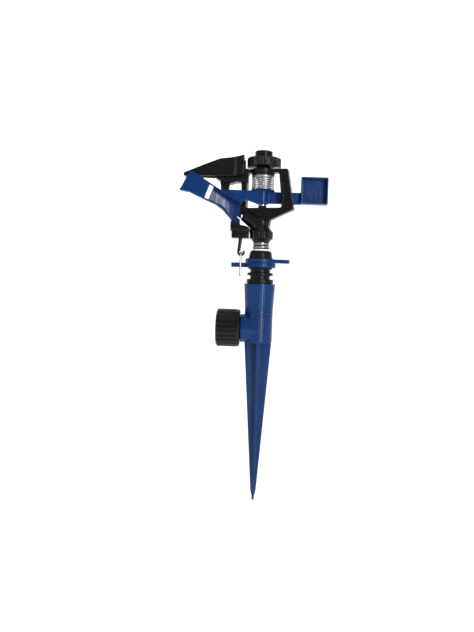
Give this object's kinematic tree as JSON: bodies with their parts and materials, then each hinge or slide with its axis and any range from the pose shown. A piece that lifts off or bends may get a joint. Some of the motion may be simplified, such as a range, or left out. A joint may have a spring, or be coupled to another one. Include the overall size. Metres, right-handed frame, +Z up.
{
  "type": "impact sprinkler on spike",
  "caption": "Impact sprinkler head with sprung hammer arm, deflector, trip lever and stop rings on a ground spike with a side hose inlet",
  "frame": {"origin": "on the turning axis of the head at the soil line, where the tube meets the blades of the spike", "axes": "+Z up along the turning axis, -X toward the nozzle and the hose nut, -Y toward the open side of the spoon"},
  "size_m": [0.1256, 0.032, 0.2978],
  "materials": {
    "blue_plastic": "moulded polypropylene with a satin gloss",
    "black_plastic": "moulded black plastic, satin with faint flow marks",
    "gloss_black": "polished black plastic",
    "steel_wire": "bright drawn spring wire",
    "steel_part": "turned stainless steel",
    "white_nylon": "natural nylon",
    "seal_rubber": "matt black rubber"
  },
  "bodies": {
    "stake": {"spike_body": "blue_plastic", "hose_washer": "seal_rubber", "bearing_sleeve": "black_plastic", "nipple_slip_washer": "white_nylon", "nipple_seal_washer": "seal_rubber", "neck_low_washer": "white_nylon"},
    "nut": {"hose_nut": "black_plastic"},
    "lower_ring": {"lower_stop_ring": "blue_plastic"},
    "upper_ring": {"upper_stop_ring": "blue_plastic"},
    "head": {"swivel_nipple": "black_plastic", "neck_spring": "steel_wire", "neck_top_washer": "steel_part", "head_body": "black_plastic", "nozzle_insert": "black_plastic", "pivot_pin": "steel_part", "pivot_washer": "steel_part", "arm_spring": "steel_wire", "spring_cap": "black_plastic", "deflector_pin": "black_plastic", "knob_screw": "steel_part", "trip_pin": "steel_part"},
    "arm": {"hammer_arm": "blue_plastic"},
    "deflector": {"deflector_hood": "black_plastic"},
    "knob": {"distance_knob": "gloss_black"},
    "trip": {"trip_lever": "black_plastic"},
    "wire": {"stop_wire": "steel_wire"}
  },
  "joints": [
    {"name": "nut_turn", "type": "hinge", "parent": "stake", "child": "nut", "pos_m": [-0.0257, 0, 0.0244], "axis": [-1, 0, 0], "continuous": true},
    {"name": "lower_ring_turn", "type": "hinge", "parent": "stake", "child": "lower_ring", "pos_m": [0, 0, 0.0782], "axis": [0, 0, 1], "range_deg": [-150, 0]},
    {"name": "upper_ring_turn", "type": "hinge", "parent": "stake", "child": "upper_ring", "pos_m": [0, 0, 0.0821], "axis": [0, 0, 1], "range_deg": [0, 150]},
    {"name": "head_turn", "type": "hinge", "parent": "stake", "child": "head", "pos_m": [0, 0, 0.094], "axis": [0, 0, 1], "range_deg": [0, 138]},
    {"name": "arm_swing", "type": "hinge", "parent": "head", "child": "arm", "pos_m": [0, 0, 0.136], "axis": [0, 0, 1], "range_deg": [0, 100], "stiffness_Nm_per_rad": 0.02, "springref_deg": -17.19},
    {"name": "knob_turn", "type": "hinge", "parent": "head", "child": "knob", "pos_m": [0, 0, 0.166], "axis": [0, 0, 1], "range_deg": [0, 150]},
    {"name": "deflector_tilt", "type": "hinge", "parent": "head", "child": "deflector", "pos_m": [-0.018, 0, 0.1652], "axis": [0, 1, 0], "range_deg": [0, 15]},
    {"name": "trip_flip", "type": "hinge", "parent": "head", "child": "trip", "pos_m": [-0.0192, 0, 0.1078], "axis": [-1, 0, 0], "range_deg": [0, 12]},
    {"name": "wire_flip", "type": "hinge", "parent": "trip", "child": "wire", "pos_m": [-0.0169, -0.0017, 0.0866], "axis": [-1, 0, 0], "range_deg": [0, 112]}
  ],
  "couplings": [
    {"joint": "deflector_tilt", "follows": "knob_turn", "ratio": 0.1}
  ]
}
